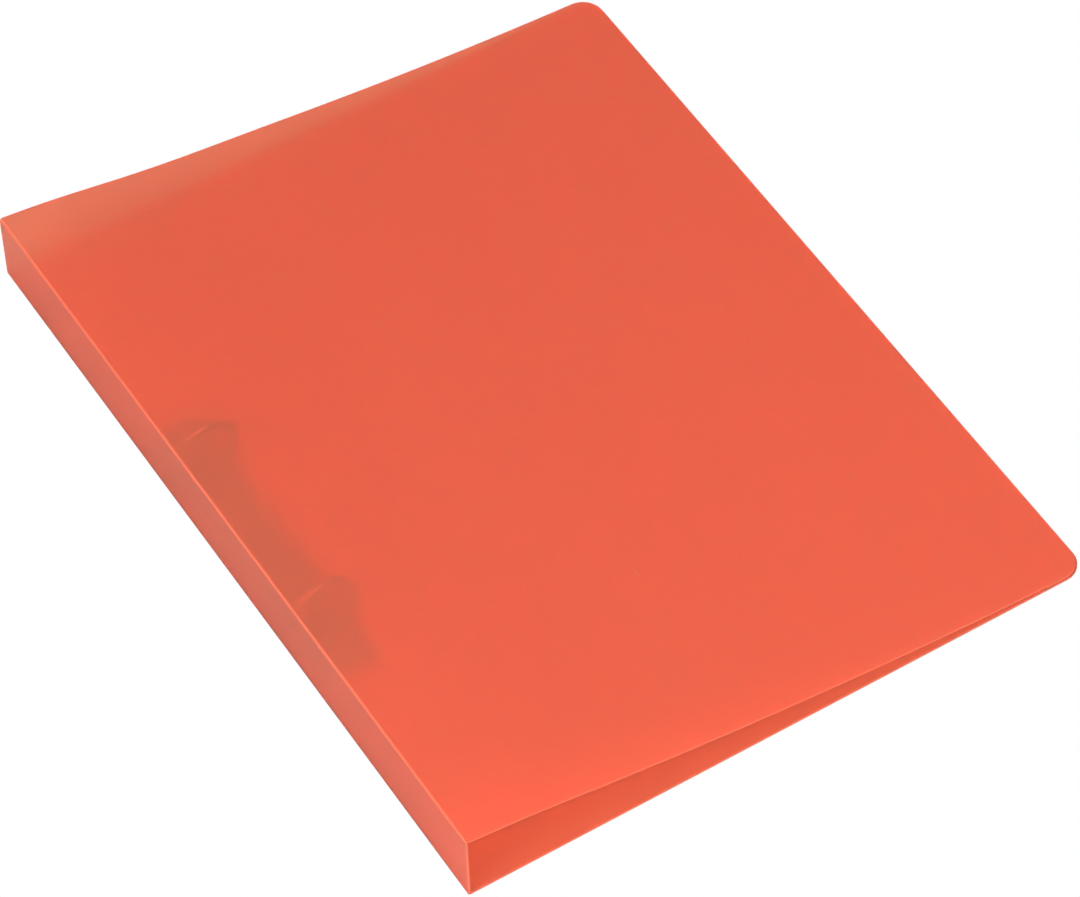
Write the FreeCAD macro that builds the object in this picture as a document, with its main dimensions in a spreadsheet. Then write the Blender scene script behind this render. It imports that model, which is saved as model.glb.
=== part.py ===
import FreeCAD, Part
import math
import os

import Sketcher
from FreeCAD import Vector

# Two-ring A4 binder, closed, lying on its back cover.
# Frame: +X from the spine to the fore-edge, +Y along the spine towards the head, +Z up.
# The origin is on the table, under the middle of the closed binder.
# The cover sheets are drawn from the spine's outer face: x = 0 there, and z = 0 on the table.

SIZES = [
    # the cover: one polypropylene sheet in three panels and two folds
    ("length", 315.0, "cover along the spine"),
    ("width", 245.5, "closed binder, spine to fore-edge"),
    ("sheet", 0.9, "cover sheet thickness"),
    ("fold_radius", 1.2, "outer radius of both folds"),
    ("web", 0.5, "sheet left in a scored fold"),
    ("corner_radius", 8.0, "corners at the fore-edge"),
    ("crease_drop", 5.7, "front cover's slope at its fold, degrees"),
    ("bend_distance", 40.0, "spine face to where the front cover's bow reverses"),
    ("fore_slope", 2.3, "front cover's slope at the fore-edge, degrees"),
    ("fore_gap", 0.45, "air between the covers at the fore-edge"),
    ("fore_setback", 0.8, "front cover short of the back cover at the fore-edge"),
    # the rings
    ("ring_spacing", 80.0, "between the two rings"),
    ("ring_bore", 20.0, "inside diameter of a ring"),
    ("wire", 3.0, "ring wire diameter"),
    ("ring_seat", 1.3, "lowest point of a ring's centre line above the back cover"),
    ("ring_headroom", 2.4, "top of a ring to the inside of the front cover at its fold"),
    ("spine_clearance", 1.1, "ring to the inside of the spine"),
    ("tip_gap", 0.1, "air between the two tips of a closed ring"),
    ("nib_length", 0.8, "nib on one tip, which the other tip's socket takes"),
    ("nib_base", 0.8, "nib radius at the tip"),
    ("nib_end", 0.5, "nib radius at its end"),
    ("nib_clearance", 0.15, "socket larger than the nib, all round"),
    # the casing and its two wing plates
    ("casing_length", 122.0, "casing along the spine"),
    ("casing_sheet", 0.6, "casing steel thickness"),
    ("pivot_spread", 16.0, "between the wing plates' outer edges"),
    ("flank_angle", 30.0, "casing's slope where the rim starts, degrees"),
    ("rim_end", 20.0, "rim's open end inside its lowest point, degrees"),
    ("rim_clearance", 0.1, "wing plate's edge in the rolled rim"),
    ("blade_length", 100.0, "wing plate along the spine"),
    ("blade_sheet", 0.8, "wing plate thickness"),
    ("blade_gap", 0.2, "between the wing plates when they lie flat"),
    ("blade_drop", 4.0, "wing plates' slope to the middle when closed, degrees"),
    ("slot_clearance", 0.4, "slot wider than the wire, each side"),
    # the rings' staked feet
    ("foot_inset", 2.4, "wing plate's outer edge to a ring's foot"),
    ("foot_overrun", 0.9, "wire carried on past the middle of its foot"),
    ("tenon_radius", 1.0, "foot through the wing plate"),
    ("tenon_clearance", 0.05, "foot in its hole"),
    ("stake_radius", 1.5, "riveted end of the foot"),
    ("stake", 0.25, "riveted end's thickness"),
    # the two rivets
    ("rivet_spacing", 110.0, "between the rivets"),
    ("rivet_radius", 2.0, "rivet shank"),
    ("rivet_bore", 1.3, "rivet's hollow end"),
    ("rivet_clearance", 0.1, "shank and head in their holes"),
    ("rivet_head_radius", 4.3, "head under the back cover"),
    ("rivet_head", 0.4, "head thickness, sunk flush"),
    ("rivet_flare_radius", 3.2, "rolled end on the casing"),
    ("rivet_flare", 0.45, "rolled end's thickness"),
    ("rivet_floor", 1.2, "solid end below the rivet's bore"),
]
SIZE = {alias: value for alias, value, note in SIZES}

# Places that several pieces share, as expressions of the sheet's cells.
SPINE_X = "-Sizes.width / 2"
HALF_LENGTH = "Sizes.length / 2"
WIRE_RADIUS = "Sizes.wire / 2"
RING_RADIUS = "(Sizes.ring_bore + Sizes.wire) / 2"
RING_RISE = "Sizes.ring_seat + " + RING_RADIUS
RING_INSET = "Sizes.sheet + Sizes.spine_clearance + %s + %s" % (RING_RADIUS, WIRE_RADIUS)
RING_X = "%s - Sizes.width / 2" % RING_INSET
FOLD_HEIGHT = "2 * Sizes.sheet + %s + %s + %s + Sizes.ring_headroom - Sizes.fold_radius" % (
    RING_RISE, RING_RADIUS, WIRE_RADIUS)
HALF_SPREAD = "Sizes.pivot_spread / 2"
RIM_BORE = "Sizes.blade_sheet / 2 + Sizes.rim_clearance"
RIM_RADIUS = RIM_BORE + " + Sizes.casing_sheet"
PIVOT_Z = "Sizes.sheet + " + RIM_RADIUS
FOOT_END = "%s - Sizes.foot_inset - Sizes.foot_overrun" % HALF_SPREAD
CROWN_RADIUS = HALF_SPREAD + " / sin(Sizes.flank_angle) + " + RIM_RADIUS
CROWN_CENTRE = "%s - %s / tan(Sizes.flank_angle)" % (RIM_RADIUS, HALF_SPREAD)

document = FreeCAD.newDocument("RingBinder")


# ---------------------------------------------------------------- helpers

def make_sheet():
    """Writes the driving dimensions, one aliased cell each."""
    sheet = document.addObject("Spreadsheet::Sheet", "Sizes")
    for row, (alias, value, note) in enumerate(SIZES, start=1):
        sheet.set("A%d" % row, note)
        sheet.set("B%d" % row, str(value))
        sheet.setAlias("B%d" % row, alias)
    document.recompute()


def new_body(label):
    """Starts a sub-part whose label is its node name."""
    body = document.addObject("PartDesign::Body", label)
    body.Label = label
    return body


def place(body, x="0", y="0", z="0", yaw="0", pitch="0"):
    """Binds a body's placement: a turn about Y by pitch, then about Z by yaw, then a move."""
    spot = "vector(%s; %s; %s)" % (x, y, z)
    turned = "rotation(%s; %s; 0)" % (yaw, pitch)
    body.setExpression("Placement", "placement(%s; %s)" % (spot, turned))


def new_sketch(body, plane, name, shift=None):
    """Starts a sketch on one of the body's origin planes, shifted in that plane's own axes."""
    sketch = body.newObject("Sketcher::SketchObject", name)
    support = next(item for item in body.Origin.OriginFeatures if item.Role == plane)
    sketch.AttachmentSupport = (support, [""])
    sketch.MapMode = "FlatFace"
    if shift:
        across, up, out, turn = shift
        spot = "vector(%s; %s; %s)" % (across, up, out)
        turned = "rotation(%s; 0; 0)" % turn
        sketch.setExpression("AttachmentOffset", "placement(%s; %s)" % (spot, turned))
    return sketch


def tie(sketch, kind, *where):
    """Adds a geometric constraint."""
    sketch.addConstraint(Sketcher.Constraint(kind, *where))


def measure(sketch, name, expression, kind, *where, guess=1.0):
    """Adds a named dimension and binds it to an expression."""
    index = sketch.addConstraint(Sketcher.Constraint(kind, *where, guess))
    sketch.renameConstraint(index, name)
    sketch.setExpression("Constraints." + name, expression)


def outline(sketch, corners):
    """Draws a closed polygon whose corners are pairs of expressions from the sketch's origin."""
    first = sketch.GeometryCount
    count = len(corners)
    turns = [2 * math.pi * index / count for index in range(count)]
    guesses = [Vector(math.cos(turn), math.sin(turn), 0) for turn in turns]
    for index in range(count):
        sketch.addGeometry(Part.LineSegment(guesses[index], guesses[(index + 1) % count]), False)
    for index, (across, up) in enumerate(corners):
        tie(sketch, "Coincident", first + index, 2, first + (index + 1) % count, 1)
        where = (-1, 1, first + index, 1)
        measure(sketch, "across%d" % (first + index), across, "DistanceX", *where)
        measure(sketch, "up%d" % (first + index), up, "DistanceY", *where)


def rectangle(sketch, left, right, bottom, top):
    """Draws a rectangle between four distances from the sketch's origin."""
    outline(sketch, [(left, bottom), (right, bottom), (right, top), (left, top)])


def circle(sketch, across, up, radius):
    """Draws a circle whose centre and radius are expressions."""
    index = sketch.addGeometry(Part.Circle(Vector(1, 1, 0), Vector(0, 0, 1), 1), False)
    measure(sketch, "across%d" % index, across, "DistanceX", -1, 1, index, 3)
    measure(sketch, "up%d" % index, up, "DistanceY", -1, 1, index, 3)
    measure(sketch, "radius%d" % index, radius, "Radius", index)


def arc(sketch, centre, radius, start, end):
    """Draws an arc counter-clockwise between two angles in degrees, as a first guess."""
    round_edge = Part.Circle(Vector(*centre, 0), Vector(0, 0, 1), radius)
    span = (math.radians(start), math.radians(end))
    return sketch.addGeometry(Part.ArcOfCircle(round_edge, *span), False)


def line(sketch, start, end, construction=False):
    """Draws a line between two points, as a first guess."""
    return sketch.addGeometry(Part.LineSegment(Vector(*start, 0), Vector(*end, 0)), construction)


def polar(centre, radius, degrees):
    """Gives the point at an angle and a distance from a centre."""
    turn = math.radians(degrees)
    return (centre[0] + radius * math.cos(turn), centre[1] + radius * math.sin(turn))


def feature(body, kind, name, profile, **properties):
    """Adds a sketch-based feature to a body and sets its properties."""
    item = body.newObject("PartDesign::" + kind, name)
    item.Profile = profile
    for key, value in properties.items():
        setattr(item, key, value)
    return item


def pad(body, name, profile, length, midplane=False):
    """Pads a sketch, to both sides of it if midplane is set."""
    item = feature(body, "Pad", name, profile, Midplane=midplane)
    item.setExpression("Length", length)
    return item


def cut(body, name, profile, **properties):
    """Pockets a sketch and checks that it took material away."""
    document.recompute()
    before = body.Shape.Volume
    item = feature(body, "Pocket", name, profile, **properties)
    document.recompute()
    if body.Shape.Volume > before - 1e-3:
        raise RuntimeError(body.Label + ": " + name + " cuts nothing")
    return item


def turn(body, kind, name, profile, axis, angle="360", **properties):
    """Turns a sketch about one of its own axes."""
    item = feature(body, kind, name, profile, **properties)
    item.ReferenceAxis = (profile, [axis])
    item.setExpression("Angle", angle)
    return item


# ---------------------------------------------------------------- cover sheets

def round_fore_corners(body, base):
    """Rounds the sheet's two corners at the fore-edge."""
    document.recompute()
    end_x = base.Shape.BoundBox.XMax
    reach = SIZE["length"] / 2
    names = []
    for index, edge in enumerate(base.Shape.Edges, start=1):
        box = edge.BoundBox
        at_end = box.YLength < 0.01 and abs(abs(box.YMin) - reach) < 0.01
        if at_end and box.XMax > end_x - SIZE["sheet"] and edge.Length < 2 * SIZE["sheet"]:
            names.append("Edge%d" % index)
    rounding = body.newObject("PartDesign::Fillet", "Corners")
    rounding.Base = (base, names)
    rounding.setExpression("Radius", "Sizes.corner_radius")


def make_back_cover():
    """The panel on the table, with flush seats for the two rivet heads."""
    body = new_body("back_cover")
    place(body, x=SPINE_X)
    profile = new_sketch(body, "XY_Plane", "BackOutline")
    rectangle(profile, "Sizes.fold_radius", "Sizes.width", "-" + HALF_LENGTH, HALF_LENGTH)
    panel = pad(body, "BackPanel", profile, "Sizes.sheet")
    round_fore_corners(body, panel)
    seats = new_sketch(body, "XY_Plane", "HeadSeats")
    holes = new_sketch(body, "XY_Plane", "RivetHoles")
    for side in ("-", ""):
        spot = (RING_INSET, side + "Sizes.rivet_spacing / 2")
        circle(seats, *spot, "Sizes.rivet_head_radius + Sizes.rivet_clearance")
        circle(holes, *spot, "Sizes.rivet_radius + Sizes.rivet_clearance")
    seat = cut(body, "HeadSeatCut", seats, Reversed=True)
    seat.setExpression("Length", "Sizes.rivet_head")
    cut(body, "RivetHoleCut", holes, Reversed=True, Type="ThroughAll")
    return body


def make_spine_panel():
    """The upright panel between the two folds."""
    body = new_body("spine_panel")
    place(body, x=SPINE_X)
    profile = new_sketch(body, "XZ_Plane", "SpineSection")
    rectangle(profile, "0", "Sizes.sheet", "Sizes.fold_radius", FOLD_HEIGHT)
    pad(body, "SpinePanel", profile, "Sizes.length", midplane=True)
    document.recompute()
    return body


def make_crease(label, height, height_guess, start, end, turned):
    """One scored fold: a web a quarter turn round, or a little more, from one panel to the next.

    height is the fold's centre above the table. start and end are the web's two ends in degrees
    about that centre, and turned is the expression for the end that isn't level with it.
    """
    body = new_body(label)
    place(body, x=SPINE_X)
    section = new_sketch(body, "XZ_Plane", "FoldSection")
    outer_radius = SIZE["fold_radius"]
    inner_radius = outer_radius - SIZE["web"]
    centre = (outer_radius, height_guess)
    outer = arc(section, centre, outer_radius, start, end)
    inner = arc(section, centre, inner_radius, start, end)
    ends = []
    for angle, point in ((start, 1), (end, 2)):
        edge = line(section, polar(centre, inner_radius, angle), polar(centre, outer_radius, angle))
        tie(section, "Coincident", edge, 1, inner, point)
        tie(section, "Coincident", edge, 2, outer, point)
        tie(section, "PointOnObject", outer, 3, edge)
        ends.append((angle, edge))
    tie(section, "Coincident", inner, 3, outer, 3)
    for angle, edge in ends:
        if angle == 180:
            tie(section, "Horizontal", edge)
        else:
            measure(section, "turned", turned, "Angle", edge, guess=math.radians(angle))
    measure(section, "outer_radius", "Sizes.fold_radius", "Radius", outer, guess=outer_radius)
    inside = "Sizes.fold_radius - Sizes.web"
    measure(section, "inner_radius", inside, "Radius", inner, guess=inner_radius)
    where = (-1, 1, outer, 3)
    measure(section, "across", "Sizes.fold_radius", "DistanceX", *where, guess=centre[0])
    measure(section, "up", height, "DistanceY", *where, guess=centre[1])
    pad(body, "FoldWeb", section, "Sizes.length", midplane=True)
    return body


def front_cover_guess(fold_height):
    """Works out where the front cover's two bends start, meet and end, and their radii."""
    drop = math.radians(SIZE["crease_drop"])
    fore = math.radians(SIZE["fore_slope"])
    fold = (SIZE["fold_radius"], fold_height)
    start = polar(fold, SIZE["fold_radius"], 90 - SIZE["crease_drop"])
    end = (SIZE["width"] - SIZE["fore_setback"], 2 * SIZE["sheet"] + SIZE["fore_gap"])
    near = SIZE["bend_distance"] - start[0]
    far = end[0] - SIZE["bend_distance"]
    steepest = (2 * (start[1] - end[1]) - near * drop - far * fore) / (near + far)
    first_radius = near / (math.sin(steepest) - math.sin(drop))
    second_radius = far / (math.sin(steepest) - math.sin(fore))
    first_centre = polar(start, -first_radius, 90 - SIZE["crease_drop"])
    bend = polar(first_centre, first_radius, 90 - math.degrees(steepest))
    second_centre = polar(bend, second_radius, 90 - math.degrees(steepest))
    return start, end, first_centre, first_radius, second_centre, second_radius, steepest


def make_front_cover(fold_height):
    """The bowed top panel, held up by the spine and dropping to the fore-edge."""
    body = new_body("front_cover")
    place(body, x=SPINE_X)
    section = new_sketch(body, "XZ_Plane", "FrontSection")
    start, end, centre_a, radius_a, centre_b, radius_b, steepest = front_cover_guess(fold_height)
    sheet = SIZE["sheet"]
    fold_end = 90 - SIZE["crease_drop"]
    bend = 90 - math.degrees(steepest)
    fore_end = 270 - SIZE["fore_slope"]
    top_a = arc(section, centre_a, radius_a, bend, fold_end)
    under_a = arc(section, centre_a, radius_a - sheet, bend, fold_end)
    top_b = arc(section, centre_b, radius_b, 180 + bend, fore_end)
    under_b = arc(section, centre_b, radius_b + sheet, 180 + bend, fore_end)
    fold_face = line(section, polar(centre_a, radius_a - sheet, fold_end), start)
    fore_face = line(section, polar(centre_b, radius_b + sheet, fore_end), end)
    tie(section, "Tangent", top_a, 1, top_b, 1)
    tie(section, "Tangent", under_a, 1, under_b, 1)
    tie(section, "Coincident", fold_face, 1, under_a, 2)
    tie(section, "Coincident", fold_face, 2, top_a, 2)
    tie(section, "Coincident", fore_face, 1, under_b, 2)
    tie(section, "Coincident", fore_face, 2, top_b, 2)
    tie(section, "Coincident", under_a, 3, top_a, 3)
    tie(section, "Coincident", under_b, 3, top_b, 3)
    tie(section, "PointOnObject", top_a, 3, fold_face)
    tie(section, "PointOnObject", top_b, 3, fore_face)
    measure(section, "sheet", "Sizes.sheet", "Distance", fold_face, guess=sheet)
    lean = math.radians(fold_end)
    measure(section, "drop", "90 - Sizes.crease_drop", "Angle", fold_face, guess=lean)
    lean = math.radians(90 - SIZE["fore_slope"])
    measure(section, "slope", "90 - Sizes.fore_slope", "Angle", fore_face, guess=lean)
    radius = "Sizes.fold_radius"
    start_x = "%s * (1 + sin(Sizes.crease_drop))" % radius
    start_z = "%s + %s * cos(Sizes.crease_drop)" % (FOLD_HEIGHT, radius)
    where = (-1, 1, fold_face, 2)
    measure(section, "start_x", start_x, "DistanceX", *where, guess=start[0])
    measure(section, "start_z", start_z, "DistanceY", *where, guess=start[1])
    where = (-1, 1, fore_face, 2)
    end_x = "Sizes.width - Sizes.fore_setback"
    end_z = "2 * Sizes.sheet + Sizes.fore_gap"
    measure(section, "end_x", end_x, "DistanceX", *where, guess=end[0])
    measure(section, "end_z", end_z, "DistanceY", *where, guess=end[1])
    bend_x = SIZE["bend_distance"]
    where = (-1, 1, top_a, 1)
    measure(section, "bend_x", "Sizes.bend_distance", "DistanceX", *where, guess=bend_x)
    panel = pad(body, "FrontPanel", section, "Sizes.length", midplane=True)
    round_fore_corners(body, panel)
    return body


# ---------------------------------------------------------------- ring mechanism

def make_casing():
    """The arched steel casing, with rolled rims for the wing plates and slots for the rings."""
    body = new_body("mechanism_casing")
    place(body, x=RING_X, z="Sizes.sheet")
    section = new_sketch(body, "XZ_Plane", "CasingSection")
    bore = SIZE["blade_sheet"] / 2 + SIZE["rim_clearance"]
    rim = bore + SIZE["casing_sheet"]
    half_spread = SIZE["pivot_spread"] / 2
    flank = 90 - SIZE["flank_angle"]
    open_end = -90 - SIZE["rim_end"]
    pivot = (half_spread, rim)
    reach = half_spread / math.cos(math.radians(flank))
    crown = (0.0, rim - reach * math.sin(math.radians(flank)))
    outer_crown = arc(section, crown, reach + rim, flank, 90)
    inner_crown = arc(section, crown, reach + bore, flank, 90)
    outer_rim = arc(section, pivot, rim, open_end, flank)
    inner_rim = arc(section, pivot, bore, open_end, flank)
    middle = line(section, (0, crown[1] + reach + bore), (0, crown[1] + reach + rim))
    rim_face = line(section, polar(pivot, bore, open_end), polar(pivot, rim, open_end))
    spoke = line(section, crown, pivot, construction=True)
    tie(section, "Coincident", spoke, 1, outer_crown, 3)
    tie(section, "Coincident", spoke, 2, outer_rim, 3)
    tie(section, "Coincident", inner_crown, 3, outer_crown, 3)
    tie(section, "Coincident", inner_rim, 3, outer_rim, 3)
    tie(section, "PointOnObject", outer_crown, 3, -2)
    for crown_arc, rim_arc, point in ((inner_crown, inner_rim, 1), (outer_crown, outer_rim, 2)):
        tie(section, "Coincident", crown_arc, 1, rim_arc, 2)
        tie(section, "PointOnObject", rim_arc, 2, spoke)
        tie(section, "Coincident", middle, point, crown_arc, 2)
        tie(section, "PointOnObject", middle, point, -2)
        tie(section, "Coincident", rim_face, point, rim_arc, 1)
    tie(section, "PointOnObject", outer_rim, 3, rim_face)
    lean = math.radians(open_end)
    measure(section, "open_end", "-90 - Sizes.rim_end", "Angle", rim_face, guess=lean)
    measure(section, "rim_radius", RIM_RADIUS, "Radius", outer_rim, guess=rim)
    measure(section, "rim_bore", RIM_BORE, "Radius", inner_rim, guess=bore)
    where = (-1, 1, outer_rim, 3)
    measure(section, "pivot_x", HALF_SPREAD, "DistanceX", *where, guess=pivot[0])
    measure(section, "pivot_z", RIM_RADIUS, "DistanceY", *where, guess=pivot[1])
    where = (-1, 1, outer_crown, 3)
    measure(section, "crown_z", CROWN_CENTRE, "DistanceY", *where, guess=crown[1])
    half = pad(body, "HalfCasing", section, "Sizes.casing_length", midplane=True)
    mirror = body.newObject("PartDesign::Mirrored", "OtherHalf")
    mirror.Originals = [half]
    mirror.MirrorPlane = (section, ["V_Axis"])
    body.Tip = mirror
    slots = new_sketch(body, "XY_Plane", "RingSlots", shift=("0", "0", RIM_RADIUS, "0"))
    holes = new_sketch(body, "XY_Plane", "CasingHoles")
    past_rim = "%s + 2 * (%s)" % (HALF_SPREAD, RIM_RADIUS)
    slot_inner = "%s - %s" % (FOOT_END, WIRE_RADIUS)
    half_slot = WIRE_RADIUS + " + Sizes.slot_clearance"
    for end in ("-", ""):
        ring_y = end + "Sizes.ring_spacing / 2"
        low_y = "%s - (%s)" % (ring_y, half_slot)
        high_y = "%s + %s" % (ring_y, half_slot)
        rectangle(slots, slot_inner, past_rim, low_y, high_y)
        rectangle(slots, "-(%s)" % past_rim, "-(%s)" % slot_inner, low_y, high_y)
        rivet_y = end + "Sizes.rivet_spacing / 2"
        circle(holes, "0", rivet_y, "Sizes.rivet_radius + Sizes.rivet_clearance")
    cut(body, "RingSlotCut", slots, Reversed=True, Type="ThroughAll")
    cut(body, "CasingHoleCut", holes, Reversed=True, Type="ThroughAll")
    return body


def make_wing_plate(label, side, yaw):
    """A flat plate that rocks about its rounded outer edge, with a hole for each ring's foot.

    Drawn with the outer edge's axis at the origin and the plate running along +X.
    """
    body = new_body(label)
    pivot_x = "%s %s %s" % (RING_X, side, HALF_SPREAD)
    place(body, x=pivot_x, z=PIVOT_Z, yaw=yaw, pitch="Sizes.blade_drop")
    section = new_sketch(body, "XZ_Plane", "PlateSection")
    half = SIZE["blade_sheet"] / 2
    across = (SIZE["pivot_spread"] - SIZE["blade_gap"]) / 2
    edge = arc(section, (0, 0), half, 90, 270)
    under = line(section, (0, -half), (across, -half))
    inner = line(section, (across, -half), (across, half))
    top = line(section, (across, half), (0, half))
    tie(section, "Coincident", edge, 3, -1, 1)
    tie(section, "Tangent", edge, 2, under, 1)
    tie(section, "Tangent", top, 2, edge, 1)
    tie(section, "Coincident", under, 2, inner, 1)
    tie(section, "Coincident", inner, 2, top, 1)
    tie(section, "Horizontal", under)
    tie(section, "Horizontal", top)
    tie(section, "Vertical", inner)
    measure(section, "half_sheet", "Sizes.blade_sheet / 2", "Radius", edge, guess=half)
    reach = "(Sizes.pivot_spread - Sizes.blade_gap) / 2"
    measure(section, "reach", reach, "DistanceX", -1, 1, inner, 1, guess=across)
    pad(body, "Plate", section, "Sizes.blade_length", midplane=True)
    holes = new_sketch(body, "XY_Plane", "FootHoles")
    for end in ("-", ""):
        hole_y = end + "Sizes.ring_spacing / 2"
        circle(holes, "Sizes.foot_inset", hole_y, "Sizes.tenon_radius + Sizes.tenon_clearance")
    cut(body, "FootHoleCut", holes, Midplane=True, Type="ThroughAll")
    return body


def make_ring_half(label, end, side, yaw, has_nib):
    """Half of a round ring, staked into its wing plate.

    Drawn about the ring's own centre, from the tip at the top round the +X side to the foot.
    """
    body = new_body(label)
    ring_z = "Sizes.sheet + " + RING_RISE
    ring_x = "%s %s Sizes.tip_gap / 2" % (RING_X, side)
    place(body, x=ring_x, y=end + "Sizes.ring_spacing / 2", z=ring_z, yaw=yaw)

    tip = new_sketch(body, "YZ_Plane", "WireSection")
    circle(tip, "0", RING_RADIUS, WIRE_RADIUS)
    sweep = "90 deg + acos((%s) / (%s))" % (FOOT_END, RING_RADIUS)
    wire = turn(body, "Revolution", "Wire", tip, "H_Axis", sweep)
    document.recompute()
    if wire.Shape.BoundBox.XMax < SIZE["ring_bore"] / 2:
        wire.Reversed = True

    mate = new_sketch(body, "XZ_Plane", "TipMate", shift=("0", RING_RADIUS, "0", "0"))
    if has_nib:
        end_x = "-Sizes.nib_length"
        outline(mate, [("0", "0"), (end_x, "0"), (end_x, "Sizes.nib_end"), ("0", "Sizes.nib_base")])
        turn(body, "Revolution", "Nib", mate, "H_Axis")
    else:
        end_x = "Sizes.nib_length + Sizes.nib_clearance"
        end_r = "Sizes.nib_end + Sizes.nib_clearance"
        mouth = "Sizes.nib_base + Sizes.nib_clearance"
        outline(mate, [("0", "0"), (end_x, "0"), (end_x, end_r), ("0", mouth)])
        turn(body, "Groove", "Socket", mate, "H_Axis")

    # The seat sketches lie along the wing plate's top face, with their origin over the foot.
    pivot_x = "(%s - Sizes.tip_gap / 2)" % HALF_SPREAD
    pivot_z = "(%s - (%s))" % (RIM_RADIUS, RING_RISE)
    slope = "Sizes.blade_drop"
    half = "Sizes.blade_sheet / 2"
    seat_x = "%s - Sizes.foot_inset * cos(%s) - %s * sin(%s)" % (pivot_x, slope, half, slope)
    seat_z = "%s - Sizes.foot_inset * sin(%s) + %s * cos(%s)" % (pivot_z, slope, half, slope)
    seat = (seat_x, seat_z, "0", slope)
    below = new_sketch(body, "XZ_Plane", "SeatCut", shift=seat)
    rectangle(below, "-2 * Sizes.wire", "2 * Sizes.wire", "-2 * Sizes.wire", "0")
    cut(body, "Seat", below, Midplane=True, Type="ThroughAll")
    foot = new_sketch(body, "XZ_Plane", "FootSection", shift=seat)
    tenon = "Sizes.tenon_radius"
    head = "Sizes.stake_radius"
    under = "-Sizes.blade_sheet"
    deepest = "-(Sizes.blade_sheet + Sizes.stake)"
    into_wire = "Sizes.wire / 8"
    outline(foot, [("0", into_wire), ("0", deepest), (head, deepest), (head, under),
                   (tenon, under), (tenon, into_wire)])
    turn(body, "Revolution", "Foot", foot, "V_Axis")
    return body


def make_rivet(label, end):
    """A tubular rivet from a flush head under the back cover to a rolled end on the casing."""
    body = new_body(label)
    place(body, x=RING_X, y=end + "Sizes.rivet_spacing / 2")
    section = new_sketch(body, "XZ_Plane", "RivetSection")
    crown = "Sizes.sheet + %s + %s" % (CROWN_CENTRE, CROWN_RADIUS)
    top = "%s + Sizes.rivet_flare" % crown
    shank = "Sizes.rivet_radius"
    head = "Sizes.rivet_head_radius"
    flare = "Sizes.rivet_flare_radius"
    bore = "Sizes.rivet_bore"
    outline(section, [("0", "0"), (head, "0"), (head, "Sizes.rivet_head"), (shank, "Sizes.rivet_head"),
                      (shank, crown), (flare, crown), (flare, top), (bore, top),
                      (bore, "Sizes.rivet_floor"), ("0", "Sizes.rivet_floor")])
    turn(body, "Revolution", "Rivet", section, "V_Axis")
    return body


# ---------------------------------------------------------------- assembly

make_sheet()
spine_panel = make_spine_panel()
back_fold = spine_panel.Shape.BoundBox.ZMin
front_fold = spine_panel.Shape.BoundBox.ZMax
fold_end = 90 - SIZE["crease_drop"]
parts = [
    make_back_cover(),
    make_crease("back_crease", "Sizes.fold_radius", back_fold, 180, 270, "-90"),
    spine_panel,
    make_crease("front_crease", FOLD_HEIGHT, front_fold, fold_end, 180, "90 - Sizes.crease_drop"),
    make_front_cover(front_fold),
    make_casing(),
    make_wing_plate("spine_side_wing_plate", "-", "0"),
    make_wing_plate("fore_side_wing_plate", "+", "180"),
]
for end_name, end in (("head", ""), ("foot", "-")):
    parts.append(make_ring_half(end_name + "_ring_spine_half", end, "-", "180", has_nib=True))
    parts.append(make_ring_half(end_name + "_ring_fore_half", end, "+", "0", has_nib=False))
    parts.append(make_rivet(end_name + "_rivet", end))

document.recompute()
for item in document.Objects:
    if "Invalid" in item.State or "Error" in item.State:
        raise RuntimeError("%s failed to build: %s" % (item.Label, item.State))
for part in parts:
    if part.Shape.isNull() or not part.Shape.isValid():
        raise RuntimeError(part.Label + " has no valid shape")

os.makedirs("parts", exist_ok=True)
for part in parts:
    part.Shape.exportStep("parts/%s.step" % part.Label)
    box = part.Shape.BoundBox
    print("%-24s %9.2f mm3  x %.2f %.2f  y %.2f %.2f  z %.3f %.3f" % (
        part.Label, part.Shape.Volume, box.XMin, box.XMax, box.YMin, box.YMax, box.ZMin, box.ZMax))
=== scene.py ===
"""Looks for a two-ring binder of translucent plastic sheet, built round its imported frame.

The sheet, its folds and its cut edges are made here, and the steel ring mechanism keeps the
frame's own solids with plated finishes. Metres, +X from spine to fore-edge, +Z up.
"""
import math

import bmesh
import bpy
from mathutils import Matrix, Vector


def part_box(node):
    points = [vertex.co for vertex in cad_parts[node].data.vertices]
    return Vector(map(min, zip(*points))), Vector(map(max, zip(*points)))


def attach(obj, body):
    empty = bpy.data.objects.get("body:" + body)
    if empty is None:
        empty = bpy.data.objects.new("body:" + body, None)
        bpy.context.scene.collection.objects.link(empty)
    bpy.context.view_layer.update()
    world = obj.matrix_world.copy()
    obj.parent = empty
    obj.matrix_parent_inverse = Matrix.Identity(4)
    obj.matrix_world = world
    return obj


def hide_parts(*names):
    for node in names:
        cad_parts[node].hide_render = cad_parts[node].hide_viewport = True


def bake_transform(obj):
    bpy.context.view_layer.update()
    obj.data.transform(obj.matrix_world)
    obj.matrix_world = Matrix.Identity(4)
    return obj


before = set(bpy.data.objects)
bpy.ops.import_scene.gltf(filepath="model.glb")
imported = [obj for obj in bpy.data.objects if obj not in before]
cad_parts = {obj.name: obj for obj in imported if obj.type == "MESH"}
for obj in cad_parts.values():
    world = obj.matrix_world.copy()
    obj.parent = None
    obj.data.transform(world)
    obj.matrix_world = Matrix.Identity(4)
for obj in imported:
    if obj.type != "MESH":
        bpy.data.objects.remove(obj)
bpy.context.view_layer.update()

# ---------------------------------------------------------------- sizes read from the frame

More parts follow.
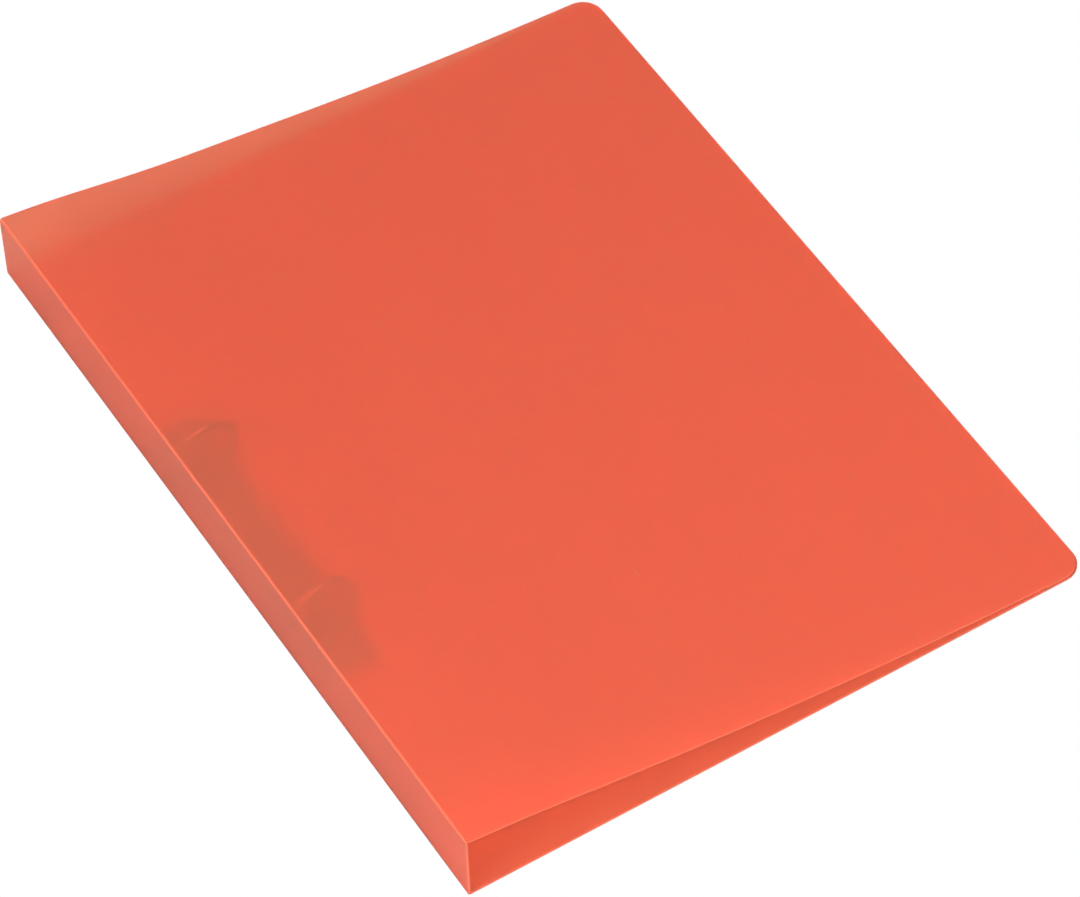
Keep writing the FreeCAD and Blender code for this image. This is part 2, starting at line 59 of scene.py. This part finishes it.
spine_low, spine_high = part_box("spine_panel")
front_low, front_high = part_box("front_cover")
back_low, back_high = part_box("back_cover")
SPINE_FACE = spine_low.x
SHEET = spine_high.x - spine_low.x
HALF_LENGTH = spine_high.y
FOLD_RADIUS = spine_low.z
FOLD_TOP = spine_high.z

# ---------------------------------------------------------------- sizes the frame can't give

WEB = 0.0005                         # sheet left in a scored fold
CORNER = 0.008                       # corners at the fore-edge
CREASE_DROP = math.radians(5.7)      # front cover's slope at its fold
FORE_SLOPE = math.radians(2.3)       # and at the fore-edge
BEND = SPINE_FACE + 0.040            # where its bow reverses
HEAD_DIP = 0.0011                    # how far the head end hangs lower, where it hangs most
DIP_PLACE = 0.055                    # distance of that place from the spine
DIP_REACH = 0.060                    # and how far the dip spreads from it
EDGE_ROUND = 0.00008                 # softening of the cut edges
GRID = 0.004                         # spacing of the sheet's grid
FOLD_STEPS = 12                      # faces round a fold
CORNER_STEP = 9                      # degrees between the rows round a corner
TAIL_STEP = 0.125                    # share of the corner's depth between its columns
HIGHLIGHT_START_DEGREES = 38                   # degrees round the front fold between which the sheet is painted lighter, a painted highlight where the fold catches the light
HIGHLIGHT_END_DEGREES = 54                     # bending has whitened the plastic
SKIN, CUT, PAINTED_HIGHLIGHT = 0, 1, 2        # places of the sheet's finishes on its meshes

RIVET_EASE = 0.00012                 # rounding of the rivets' turned corners
RIVET_HEAD = 0.0004                  # rivet: thickness of its head
RIVET_SHANK = 0.0020                 # radius of its shank
RIVET_FLARE = 0.00045                # thickness of its rolled end
RIVET_FLARE_RADIUS = 0.0032          # radius of its rolled end
RIVET_BORE = 0.0013                  # radius of its bore
RIVET_FLOOR = 0.0012                 # height of the floor of its bore
RIVET_SIDES = 48                     # faces round it
RIVET_SEAT = 0.006                   # reach of the punched seat round it
STAMPED_EASE = 0.00012               # rounding of the stamped steel's edges
STAMPED_CORNER = math.radians(50)    # a stamped edge that turns more than this gets rounded
ARC_MIDDLE = 0.29                    # where a rounded corner's middle lies between its ends
SAME_PLACE = 1e-6                    # points nearer than this are one
SAME_PLANE = math.radians(0.5)       # faces nearer in angle than this are one
SHARP_TURN = math.radians(20)        # edges that turn more than this stay crisp


# ---------------------------------------------------------------- front cover's section

def middle_slope(near, far, drop):
    """Finds the steepest slope of two tangent arcs that fall by drop over near and far."""
    low, high = 0.0, 1.0
    for _ in range(60):
        slope = (low + high) / 2
        fall = near * math.tan((CREASE_DROP + slope) / 2) + far * math.tan((slope + FORE_SLOPE) / 2)
        low, high = (slope, high) if fall < drop else (low, slope)
    return slope


class FrontSection:
    """The front cover's outer skin: a bow that starts at the fold and one that ends at the edge."""

    def __init__(self):
        self.start = SPINE_FACE + FOLD_RADIUS * (1 + math.sin(CREASE_DROP))
        self.top = FOLD_TOP + FOLD_RADIUS * math.cos(CREASE_DROP)
        self.end = front_high.x
        fore_top = front_low.z + SHEET * math.cos(FORE_SLOPE)
        near, far = BEND - self.start, self.end - BEND
        self.steepest = middle_slope(near, far, self.top - fore_top)
        self.near_radius = near / (math.sin(self.steepest) - math.sin(CREASE_DROP))
        self.far_radius = far / (math.sin(self.steepest) - math.sin(FORE_SLOPE))
        self.bend_z = self.top - near * math.tan((CREASE_DROP + self.steepest) / 2)

    def slope(self, x):
        """Gives the downward slope at x as an angle."""
        if x < BEND:
            return math.asin(math.sin(self.steepest) - (BEND - x) / self.near_radius)
        return math.asin(math.sin(self.steepest) - (x - BEND) / self.far_radius)

    def height(self, x):
        """Gives the outer skin's height at x."""
        run = x - BEND
        return self.bend_z - run * math.tan((self.slope(x) + self.steepest) / 2)

    def dip(self, x, y):
        """Gives how much lower the skin hangs at this place than in the plain section."""
        away = abs(x - SPINE_FACE - DIP_PLACE) / DIP_REACH
        if away >= 1:
            return 0.0
        lengthways = (y / HALF_LENGTH + 1) / 2
        return HEAD_DIP * math.cos(math.pi / 2 * away) ** 2 * lengthways


# ---------------------------------------------------------------- sheet meshes

def spread(start, end, spacing):
    """Divides a stretch evenly, with steps near the given spacing."""
    count = max(1, round(abs(end - start) / spacing))
    return [start + (end - start) * step / count for step in range(count + 1)]


def corner_trim(y):
    """Gives how far the fore-edge draws back at y, round the sheet's corners."""
    past = abs(y) - (HALF_LENGTH - CORNER)
    if past <= 0:
        return 0.0
    return CORNER - math.sqrt(max(0.0, CORNER ** 2 - past ** 2))


def stations_along_spine():
    """Lists the Y places of the grid's rows, close together round the corners."""
    straight = HALF_LENGTH - CORNER
    turns = [math.radians(turn) for turn in range(CORNER_STEP, 91, CORNER_STEP)]
    round_part = [straight + CORNER * math.sin(turn) for turn in turns]
    return [-y for y in reversed(round_part)] + spread(-straight, straight, GRID) + round_part


def shell(name, rows):
    """Closes a grid of (outer, inner) point pairs into a solid sheet with softened cut edges."""
    mesh = bmesh.new()
    outer = [[mesh.verts.new(pair[0]) for pair in row] for row in rows]
    inner = [[mesh.verts.new(pair[1]) for pair in row] for row in rows]
    skins = []
    for row in range(len(rows) - 1):
        for place in range(len(rows[0]) - 1):
            for skin in (outer, inner):
                corners = (skin[row][place], skin[row][place + 1],
                           skin[row + 1][place + 1], skin[row + 1][place])
                skins.append(mesh.faces.new(corners))
    rims = []
    for row in (0, len(rows) - 1):
        for place in range(len(rows[0]) - 1):
            rims.append(mesh.faces.new((outer[row][place], outer[row][place + 1],
                                        inner[row][place + 1], inner[row][place])))
    for place in (0, len(rows[0]) - 1):
        for row in range(len(rows) - 1):
            rims.append(mesh.faces.new((outer[row][place], outer[row + 1][place],
                                        inner[row + 1][place], inner[row][place])))
    for face in rims:
        face.material_index = CUT
    bmesh.ops.remove_doubles(mesh, verts=mesh.verts, dist=SAME_PLACE)
    bmesh.ops.recalc_face_normals(mesh, faces=mesh.faces)
    round_cut_edges(mesh)
    # faces round the middle of the front fold get a lighter finish: a painted highlight
    for face in mesh.faces:
        if face.material_index == SKIN and in_painted_fold_highlight(face.calc_center_median()):
            face.material_index = PAINTED_HIGHLIGHT
    return finished(name, mesh, SHEET_FINISHES)


def round_cut_edges(mesh):
    """Softens the edges where a skin meets a cut edge."""
    edges = [edge for edge in mesh.edges
             if len({face.material_index for face in edge.link_faces}) == 2]
    bmesh.ops.bevel(mesh, geom=edges, offset=EDGE_ROUND, segments=2, affect="EDGES",
                    profile=0.5, material=CUT, clamp_overlap=True)


def in_painted_fold_highlight(place):
    """Says whether a place lies in the middle of the front fold, where a painted highlight lightens
    the sheet.
    """
    across = place.x - (SPINE_FACE + FOLD_RADIUS)
    up = place.z - FOLD_TOP
    if across > 0 or up < 0:
        return False
    turn = math.degrees(math.atan2(up, -across))
    return HIGHLIGHT_START_DEGREES < turn < HIGHLIGHT_END_DEGREES


def finished(name, mesh, materials):
    """Turns a bmesh into an object in place, smooth but for its sharp edges.

    A copy brings along the frame solid's stored normals, which no longer fit it, so they go.
    """
    for face in mesh.faces:
        face.smooth = True
    data = bpy.data.meshes.new(name)
    mesh.to_mesh(data)
    mesh.free()
    old_normals = data.attributes.get("custom_normal")
    if old_normals:
        data.attributes.remove(old_normals)
    for material in materials:
        data.materials.append(material)
    data.set_sharp_from_angle(angle=SHARP_TURN)
    piece = bpy.data.objects.new(name, data)
    bpy.context.scene.collection.objects.link(piece)
    return piece


def fold_pairs(centre_z, start, end):
    """Lists a fold's (outer, inner) section points between two angles about its centre."""
    centre = Vector((SPINE_FACE + FOLD_RADIUS, 0, centre_z))
    pairs = []
    for step in range(FOLD_STEPS + 1):
        turn = math.radians(start + (end - start) * step / FOLD_STEPS)
        out = Vector((math.cos(turn), 0, math.sin(turn)))
        pairs.append((centre + out * FOLD_RADIUS, centre + out * (FOLD_RADIUS - WEB)))
    return pairs


def make_upper_sheet():
    """The spine, the front fold and the front cover as one sheet."""
    section = FrontSection()
    spine = [(Vector((SPINE_FACE, 0, z)), Vector((SPINE_FACE + SHEET, 0, z)))
             for z in spread(FOLD_RADIUS, FOLD_TOP, GRID)]
    fold = fold_pairs(FOLD_TOP, 180, 90 - math.degrees(CREASE_DROP))
    knee = section.end - CORNER
    plain = spread(section.start, knee, GRID)
    tail = spread(0.0, 1.0, TAIL_STEP)[1:]
    rows = []
    for y in stations_along_spine():
        reach = CORNER - corner_trim(y)
        along = Vector((0, y, 0))
        row = [(outer + along, inner + along) for outer, inner in spine + fold]
        for x in plain + [knee + reach * share for share in tail]:
            slope = section.slope(x)
            inward = Vector((-math.sin(slope), 0, -math.cos(slope)))
            outer = Vector((x, y, section.height(x) - section.dip(x, y)))
            row.append((outer, outer + inward * SHEET))
        rows.append(row)
    return shell("spine_and_front_cover", rows)


def make_back_fold():
    """The scored fold between the spine and the back cover."""
    pairs = fold_pairs(FOLD_RADIUS, 180, 270)
    rows = [[(outer + Vector((0, y, 0)), inner + Vector((0, y, 0))) for outer, inner in pairs]
            for y in spread(-HALF_LENGTH, HALF_LENGTH, 2 * GRID)]
    return shell("back_fold", rows)


# ---------------------------------------------------------------- mechanism meshes

def softened_copy(name, node, finish):
    """Copies a stamped steel part from the frame and rounds its sheared edges."""
    mesh = bmesh.new()
    mesh.from_mesh(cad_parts[node].data)
    bmesh.ops.remove_doubles(mesh, verts=mesh.verts, dist=SAME_PLACE)
    bmesh.ops.dissolve_limit(mesh, angle_limit=SAME_PLANE, verts=mesh.verts, edges=mesh.edges)
    edges = [edge for edge in mesh.edges
             if len(edge.link_faces) == 2 and edge.calc_face_angle() > STAMPED_CORNER]
    bmesh.ops.bevel(mesh, geom=edges, offset=STAMPED_EASE, segments=2, affect="EDGES",
                    profile=0.5, clamp_overlap=True)
    return finished(name, mesh, [finish])


def make_back_cover():
    """The back cover with its punched rivet seats, its outline softened like the other cut edges."""
    mesh = bmesh.new()
    mesh.from_mesh(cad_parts["back_cover"].data)
    bmesh.ops.remove_doubles(mesh, verts=mesh.verts, dist=SAME_PLACE)
    rivets = [rivet_centre(end) for end in ("head", "foot")]
    for face in mesh.faces:
        middle = face.calc_center_median()
        at_rivet = any((middle - rivet).xy.length < RIVET_SEAT for rivet in rivets)
        upright = abs(face.normal.z) < 0.5
        face.material_index = CUT if upright and not at_rivet else SKIN
    round_cut_edges(mesh)
    return finished("back_cover_sheet", mesh, SHEET_FINISHES)


def rivet_centre(end):
    """Gives the middle of a rivet's foot."""
    low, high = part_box(end + "_rivet")
    return Vector(((low.x + high.x) / 2, (low.y + high.y) / 2, low.z))


def eased(corners, ease):
    """Cuts the corners of a section with three points each, and keeps its two ends."""
    points = [corners[0]]
    for before, corner, after in zip(corners, corners[1:], corners[2:]):
        back = (before - corner).normalized() * ease
        forth = (after - corner).normalized() * ease
        points += [corner + back, corner + (back + forth) * ARC_MIDDLE, corner + forth]
    return points + [corners[-1]]


def turn_rivet():
    """Turns one tubular rivet on a lathe: flush head, shank, rolled end and bore."""
    low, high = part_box("head_rivet")
    top = high.z - low.z
    head = (high.x - low.x) / 2
    corners = [(0, 0), (head, 0), (head, RIVET_HEAD), (RIVET_SHANK, RIVET_HEAD),
               (RIVET_SHANK, top - RIVET_FLARE), (RIVET_FLARE_RADIUS, top - RIVET_FLARE),
               (RIVET_FLARE_RADIUS, top), (RIVET_BORE, top), (RIVET_BORE, RIVET_FLOOR),
               (0, RIVET_FLOOR)]
    section = eased([Vector(corner) for corner in corners], RIVET_EASE)
    mesh = bmesh.new()
    rings = []
    for radius, height in section[1:-1]:
        turns = [math.tau * side / RIVET_SIDES for side in range(RIVET_SIDES)]
        rings.append([mesh.verts.new((radius * math.cos(turn), radius * math.sin(turn), height))
                      for turn in turns])
    for lower, upper in zip(rings, rings[1:]):
        for side in range(RIVET_SIDES):
            after = (side + 1) % RIVET_SIDES
            mesh.faces.new((lower[side], lower[after], upper[after], upper[side]))
    mesh.faces.new(reversed(rings[0]))
    mesh.faces.new(rings[-1])
    bmesh.ops.recalc_face_normals(mesh, faces=mesh.faces)
    return finished("turned_rivet", mesh, [])


def make_row_tree():
    """Builds the Geometry Nodes tree that sets copies of one part in a row."""
    tree = bpy.data.node_groups.new("parts_in_a_row", "GeometryNodeTree")
    face = tree.interface
    face.new_socket("Part", in_out="INPUT", socket_type="NodeSocketObject")
    face.new_socket("Count", in_out="INPUT", socket_type="NodeSocketInt")
    face.new_socket("First Place", in_out="INPUT", socket_type="NodeSocketVector")
    face.new_socket("Step", in_out="INPUT", socket_type="NodeSocketVector")
    face.new_socket("Finish", in_out="INPUT", socket_type="NodeSocketMaterial")
    face.new_socket("Geometry", in_out="OUTPUT", socket_type="NodeSocketGeometry")
    given = tree.nodes.new("NodeGroupInput")
    result = tree.nodes.new("NodeGroupOutput")
    places = add_node(tree, "GeometryNodeMeshLine", mode="OFFSET")
    part = tree.nodes.new("GeometryNodeObjectInfo")
    copies = tree.nodes.new("GeometryNodeInstanceOnPoints")
    solid = tree.nodes.new("GeometryNodeRealizeInstances")
    painted = tree.nodes.new("GeometryNodeSetMaterial")
    link = tree.links.new
    link(given.outputs["Count"], places.inputs["Count"])
    link(given.outputs["First Place"], places.inputs["Start Location"])
    link(given.outputs["Step"], places.inputs["Offset"])
    link(given.outputs["Part"], part.inputs["Object"])
    link(places.outputs["Mesh"], copies.inputs["Points"])
    link(part.outputs["Geometry"], copies.inputs["Instance"])
    link(copies.outputs["Instances"], solid.inputs["Geometry"])
    link(solid.outputs["Geometry"], painted.inputs["Geometry"])
    link(given.outputs["Finish"], painted.inputs["Material"])
    link(painted.outputs["Geometry"], result.inputs["Geometry"])
    return tree


def make_rivets(finish):
    """The pair of rivets that holds the mechanism to the back cover."""
    pattern = turn_rivet()
    first, last = rivet_centre("foot"), rivet_centre("head")
    holder_mesh = bpy.data.meshes.new("row")
    holder = bpy.data.objects.new("row", holder_mesh)
    bpy.context.scene.collection.objects.link(holder)
    row = holder.modifiers.new("row", "NODES")
    row.node_group = make_row_tree()
    values = {"Part": pattern, "Count": 2, "First Place": first, "Step": last - first,
              "Finish": finish}
    for socket in row.node_group.interface.items_tree:
        if socket.in_out == "INPUT":
            row[socket.identifier] = values[socket.name]
    evaluated = holder.evaluated_get(bpy.context.evaluated_depsgraph_get())
    data = bpy.data.meshes.new_from_object(evaluated)
    data.name = "casing_rivets"
    holder.modifiers.remove(row)
    for leftover in (holder, pattern):
        bpy.data.objects.remove(leftover)
    rivets = bpy.data.objects.new("casing_rivets", data)
    bpy.context.scene.collection.objects.link(rivets)
    return rivets


# ---------------------------------------------------------------- shared surface effects

SCUFFS_PER_METRE = (260.0, 26.0, 60.0)   # cells that may hold a scuff, long along the spine
SCUFF_CORE, SCUFF_RIM = 0.03, 0.09       # distances between which a scuff fades away
SCUFF_RARITY = 0.965                     # share of the cells without one
PATCH_CLEAR, PATCH_DULL = 0.35, 0.7      # cloud values between which the plate turns dull


def add_node(tree, kind, values=(), **settings):
    """Adds a node with its settings and the plain values of its inputs."""
    made = tree.nodes.new(kind)
    for name, value in settings.items():
        setattr(made, name, value)
    for name, value in values:
        made.inputs[name].default_value = value
    return made


def start_group(name, inputs, outputs):
    """Starts a shader node group with number inputs and outputs."""
    group = bpy.data.node_groups.new(name, "ShaderNodeTree")
    for label, value in inputs:
        socket = group.interface.new_socket(label, in_out="INPUT", socket_type="NodeSocketFloat")
        socket.default_value = value
    for label in outputs:
        group.interface.new_socket(label, in_out="OUTPUT", socket_type="NodeSocketFloat")
    return group, group.nodes.new("NodeGroupInput"), group.nodes.new("NodeGroupOutput")


def scaled_place(tree, scale):
    """Gives Object coordinates stretched by a scale for each axis."""
    place = tree.nodes.new("ShaderNodeTexCoord")
    mapping = add_node(tree, "ShaderNodeMapping", [("Scale", scale)])
    tree.links.new(place.outputs["Object"], mapping.inputs["Vector"])
    return mapping.outputs["Vector"]


def make_sheet_surface():
    """The sheet's surface: slow clouds in the plastic, its matt grain, and a few fine scuffs."""
    group, given, result = start_group(
        "sheet_surface", [("Cloud Scale", 14.0), ("Grain Scale", 1400.0)],
        ["Clouds", "Grain", "Scuffs"])
    link = group.links.new
    clouds = add_node(group, "ShaderNodeTexNoise", [("Detail", 3.0), ("Roughness", 0.55)])
    link(scaled_place(group, (1.0, 0.7, 1.0)), clouds.inputs["Vector"])
    link(given.outputs["Cloud Scale"], clouds.inputs["Scale"])
    link(clouds.outputs["Fac"], result.inputs["Clouds"])

    grain = add_node(group, "ShaderNodeTexNoise", [("Detail", 2.0), ("Roughness", 0.6)])
    link(scaled_place(group, (1.0, 1.0, 1.0)), grain.inputs["Vector"])
    link(given.outputs["Grain Scale"], grain.inputs["Scale"])
    link(grain.outputs["Fac"], result.inputs["Grain"])

    strokes = add_node(group, "ShaderNodeTexVoronoi", [("Scale", 1.0)])
    link(scaled_place(group, SCUFFS_PER_METRE), strokes.inputs["Vector"])
    fading = [("From Min", SCUFF_CORE), ("From Max", SCUFF_RIM), ("To Min", 1.0), ("To Max", 0.0)]
    thin = add_node(group, "ShaderNodeMapRange", fading)
    link(strokes.outputs["Distance"], thin.inputs["Value"])
    chance = group.nodes.new("ShaderNodeSeparateColor")
    link(strokes.outputs["Color"], chance.inputs["Color"])
    rare = add_node(group, "ShaderNodeMath", [(1, SCUFF_RARITY)], operation="GREATER_THAN")
    link(chance.outputs["Red"], rare.inputs[0])
    scuffs = add_node(group, "ShaderNodeMath", operation="MULTIPLY")
    link(thin.outputs["Result"], scuffs.inputs[0])
    link(rare.outputs["Value"], scuffs.inputs[1])
    link(scuffs.outputs["Value"], result.inputs["Scuffs"])
    return group


def make_plating_surface():
    """Nickel plate: the strip's rolling lines and dull patches."""
    group, given, result = start_group(
        "plating_surface", [("Line Scale", 900.0), ("Patch Scale", 90.0)],
        ["Lines", "Patches"])
    link = group.links.new
    lines = add_node(group, "ShaderNodeTexNoise", [("Detail", 2.0)])
    link(scaled_place(group, (1.0, 0.03, 1.0)), lines.inputs["Vector"])
    link(given.outputs["Line Scale"], lines.inputs["Scale"])
    link(lines.outputs["Fac"], result.inputs["Lines"])

    patches = add_node(group, "ShaderNodeTexNoise", [("Detail", 4.0), ("Roughness", 0.65)])
    link(scaled_place(group, (1.0, 1.0, 1.0)), patches.inputs["Vector"])
    link(given.outputs["Patch Scale"], patches.inputs["Scale"])
    contrast = add_node(group, "ShaderNodeMapRange",
                        [("From Min", PATCH_CLEAR), ("From Max", PATCH_DULL)])
    link(patches.outputs["Fac"], contrast.inputs["Value"])
    link(contrast.outputs["Result"], result.inputs["Patches"])
    return group


# ---------------------------------------------------------------- materials

SHEET_IOR = 1.2                      # low, so that the thin matt sheet shows little glare
SCUFF_COLOUR = (1.0, 0.55, 0.38)
CLOUD_SCALE = 14.0                   # clouds in the plastic, per metre
GRAIN_SCALE = 1400.0                 # its matt grain, per metre
GRAIN_DEPTH = 0.00002                # how far the grain stands out
PATCH_SCALE = 90.0                   # dull patches in the plating, per metre
LINE_DEPTH = 0.00001                 # how far its rolling lines stand out
CLOUD_ROUGHNESS = 0.04               # how far clouds move the sheet's roughness either way
PATCH_ROUGHNESS = 0.12               # how much rougher a dull patch is


def new_material(name):
    """Starts a material and gives it, its node tree and its Principled shader."""
    material = bpy.data.materials.new(name)
    material.use_nodes = True
    tree = material.node_tree
    return material, tree, tree.nodes["Principled BSDF"]


def use_group(tree, group, values):
    """Places a shared effect in a material with that material's own values."""
    return add_node(tree, "ShaderNodeGroup", values, node_tree=group)


def mixed_colour(tree, share, first, second):
    """Mixes two colours, plain or linked, by a mask."""
    mix = add_node(tree, "ShaderNodeMix", data_type="RGBA")
    tree.links.new(share, mix.inputs["Factor"])
    for place, colour in ((6, first), (7, second)):
        if isinstance(colour, bpy.types.NodeSocket):
            tree.links.new(colour, mix.inputs[place])
        else:
            mix.inputs[place].default_value = (*colour, 1.0)
    return mix.outputs[2]


def set_roughness(tree, shader, mask, low, high):
    """Lets the roughness follow a mask between two values."""
    spread_out = add_node(tree, "ShaderNodeMapRange", [("To Min", low), ("To Max", high)])
    tree.links.new(mask, spread_out.inputs["Value"])
    tree.links.new(spread_out.outputs["Result"], shader.inputs["Roughness"])


def set_bump(tree, shader, height, strength, depth):
    """Raises the surface by a height mask, depth metres high."""
    bump = add_node(tree, "ShaderNodeBump", [("Strength", strength), ("Distance", depth)])
    tree.links.new(height, bump.inputs["Height"])
    tree.links.new(bump.outputs["Normal"], shader.inputs["Normal"])


def make_sheet_finish(name, surface, thin, thick, transmission, roughness):
    """Frosted polypropylene: thin and thick are its colours where it is clearer and cloudier."""
    material, tree, shader = new_material(name)
    shader.inputs["Transmission Weight"].default_value = transmission
    shader.inputs["IOR"].default_value = SHEET_IOR
    marks = use_group(tree, surface, [("Cloud Scale", CLOUD_SCALE), ("Grain Scale", GRAIN_SCALE)])
    plastic = mixed_colour(tree, marks.outputs["Clouds"], thin, thick)
    scuffed = mixed_colour(tree, marks.outputs["Scuffs"], plastic, SCUFF_COLOUR)
    tree.links.new(scuffed, shader.inputs["Base Color"])
    set_roughness(tree, shader, marks.outputs["Clouds"],
                  roughness - CLOUD_ROUGHNESS, roughness + CLOUD_ROUGHNESS)
    set_bump(tree, shader, marks.outputs["Grain"], 0.25, GRAIN_DEPTH)
    return material


def make_plating(name, surface, colour, dull_colour, roughness, line_scale):
    """Nickel plate on steel, with duller patches and fine lines."""
    material, tree, shader = new_material(name)
    shader.inputs["Metallic"].default_value = 1.0
    marks = use_group(tree, surface, [("Line Scale", line_scale), ("Patch Scale", PATCH_SCALE)])
    tint = mixed_colour(tree, marks.outputs["Patches"], colour, dull_colour)
    tree.links.new(tint, shader.inputs["Base Color"])
    set_roughness(tree, shader, marks.outputs["Patches"], roughness, roughness + PATCH_ROUGHNESS)
    set_bump(tree, shader, marks.outputs["Lines"], 0.3, LINE_DEPTH)
    return material


sheet_surface = make_sheet_surface()
plating_surface = make_plating_surface()
frosted = make_sheet_finish("frosted_polypropylene", sheet_surface,
                            (0.980, 0.31, 0.187), (0.978, 0.288, 0.169), 0.84, 0.40)
# cut edges are a little lighter and cloudier: partly the rough cut's own look, partly a painted
# highlight where light comes through the edge
cut_edge_with_painted_highlight = make_sheet_finish("cut_polypropylene_edge_painted_highlight", sheet_surface,
                             (0.98, 0.32, 0.195), (0.98, 0.30, 0.175), 0.75, 0.45)
# the fold band's finish, lighter and cloudier than the sheet: a painted highlight where the fold
# catches the light
fold_highlight_finish = make_sheet_finish("polypropylene_painted_fold_highlight", sheet_surface,
                             (1.0, 0.35, 0.225), (0.99, 0.33, 0.20), 0.70, 0.45)
# the plate's colours are darker than real nickel: painted shade, so the mechanism shows darker
# through the cover
plated_steel_painted_shade = make_plating("nickel_plate_on_steel_painted_shade", plating_surface,
                            (0.28, 0.27, 0.25), (0.21, 0.20, 0.18), 0.40, 900.0)
# the ring wire is likewise darker than real nickel: painted shade
ring_wire_painted_shade = make_plating("nickel_wire_painted_shade", plating_surface,
                           (0.25, 0.24, 0.22), (0.19, 0.18, 0.165), 0.34, 1500.0)
rivet_nickel = make_plating("rivet_nickel", plating_surface,
                            (0.42, 0.40, 0.365), (0.33, 0.31, 0.28), 0.30, 1200.0)
SHEET_FINISHES = [frosted, cut_edge_with_painted_highlight, fold_highlight_finish]


# ---------------------------------------------------------------- the binder

upper = make_upper_sheet()
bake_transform(upper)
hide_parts("spine_panel", "front_crease", "front_cover")

back_fold = make_back_fold()
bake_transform(back_fold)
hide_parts("back_crease")

back_cover = make_back_cover()
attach(back_cover, "base")
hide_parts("back_cover")

casing = softened_copy("riveted_casing", "mechanism_casing", plated_steel_painted_shade)
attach(casing, "base")
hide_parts("mechanism_casing")

for side in ("spine", "fore"):
    wing = softened_copy(side + "_side_blade", side + "_side_wing_plate", plated_steel_painted_shade)
    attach(wing, side + "_side_halves")
    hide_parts(side + "_side_wing_plate")

rivets = make_rivets(rivet_nickel)
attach(rivets, "base")
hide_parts("head_rivet", "foot_rivet")

for end in ("head", "foot"):
    for side in ("spine", "fore"):
        ring_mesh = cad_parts["%s_ring_%s_half" % (end, side)].data
        for place in range(len(ring_mesh.materials)):
            ring_mesh.materials[place] = ring_wire_painted_shade


# ---------------------------------------------------------------- floor, light and camera

FLOOR_SIZE = 8.0
FLOOR_DROP = 0.0002                  # gap between the binder and the floor
FLOOR_GREY = 0.29
FLOOR_ROUGHNESS = 0.9
SOFTBOX_PLACE, SOFTBOX_WATTS = (-0.2, -1.7, 1.5), 85
FILL_PLACE, FILL_WATTS = (-1.9, -0.4, 1.3), 57
LIGHT_SIZE = 1.4                     # side of both soft lights
STUDIO_WHITE = 0.6                   # brightness of the white studio all round
AIM_ACROSS, AIM_ALONG = 0.1175, -0.01238     # aim's distances from the spine and mid-length
CAMERA_AZIMUTH = math.radians(-30.2747)
CAMERA_ELEVATION = math.radians(51.4896)
CAMERA_ROLL = math.radians(-1.9726)
CAMERA_DISTANCE = 1.89765
LENS_MM = 182.915
SENSOR_MM = 36.0


def make_floor():
    """A plain pale floor just under the binder, which the camera sees as pure white."""
    bpy.ops.mesh.primitive_plane_add(size=FLOOR_SIZE, location=(0, 0, -FLOOR_DROP))
    floor = bpy.context.object
    floor.name = "floor"
    material, tree, shader = new_material("white_floor")
    shader.inputs["Base Color"].default_value = (FLOOR_GREY, FLOOR_GREY, FLOOR_GREY, 1)
    shader.inputs["Roughness"].default_value = FLOOR_ROUGHNESS
    ray = tree.nodes.new("ShaderNodeLightPath")
    white = tree.nodes.new("ShaderNodeEmission")
    mix = tree.nodes.new("ShaderNodeMixShader")
    tree.links.new(ray.outputs["Is Camera Ray"], mix.inputs[0])
    tree.links.new(shader.outputs[0], mix.inputs[1])
    tree.links.new(white.outputs[0], mix.inputs[2])
    tree.links.new(mix.outputs[0], tree.nodes["Material Output"].inputs["Surface"])
    floor.data.materials.append(material)


def make_light(name, place, watts):
    """A square soft light that points at the binder."""
    light = bpy.data.lights.new(name, "AREA")
    light.size = LIGHT_SIZE
    light.energy = watts
    lamp = bpy.data.objects.new(name, light)
    lamp.location = place
    lamp.rotation_euler = (-Vector(place)).to_track_quat("-Z", "Y").to_euler()
    bpy.context.scene.collection.objects.link(lamp)


def make_camera():
    """The camera: where it aims, the way it looks, and how far off it stands."""
    aim = Vector((SPINE_FACE + AIM_ACROSS, AIM_ALONG, 0.0))
    level = math.cos(CAMERA_ELEVATION)
    back = Vector((math.sin(CAMERA_AZIMUTH) * level, -math.cos(CAMERA_AZIMUTH) * level,
                   math.sin(CAMERA_ELEVATION)))
    across = Vector((0, 0, 1)).cross(back).normalized()
    up = back.cross(across)
    turned_across = across * math.cos(CAMERA_ROLL) + up * math.sin(CAMERA_ROLL)
    turned_up = up * math.cos(CAMERA_ROLL) - across * math.sin(CAMERA_ROLL)
    data = bpy.data.cameras.new("camera")
    data.sensor_width = SENSOR_MM
    data.lens = LENS_MM
    data.clip_start = 0.05
    camera = bpy.data.objects.new("camera", data)
    turn = Matrix((turned_across, turned_up, back)).transposed().to_4x4()
    camera.matrix_world = Matrix.Translation(aim + back * CAMERA_DISTANCE) @ turn
    bpy.context.scene.collection.objects.link(camera)
    bpy.context.scene.camera = camera


make_floor()
make_light("softbox", SOFTBOX_PLACE, SOFTBOX_WATTS)
make_light("side_fill", FILL_PLACE, FILL_WATTS)
world = bpy.data.worlds.new("studio")
world.use_nodes = True
world.node_tree.nodes["Background"].inputs["Color"].default_value = (1, 1, 1, 1)
world.node_tree.nodes["Background"].inputs["Strength"].default_value = STUDIO_WHITE
bpy.context.scene.world = world
bpy.context.scene.view_settings.view_transform = "Standard"
make_camera()
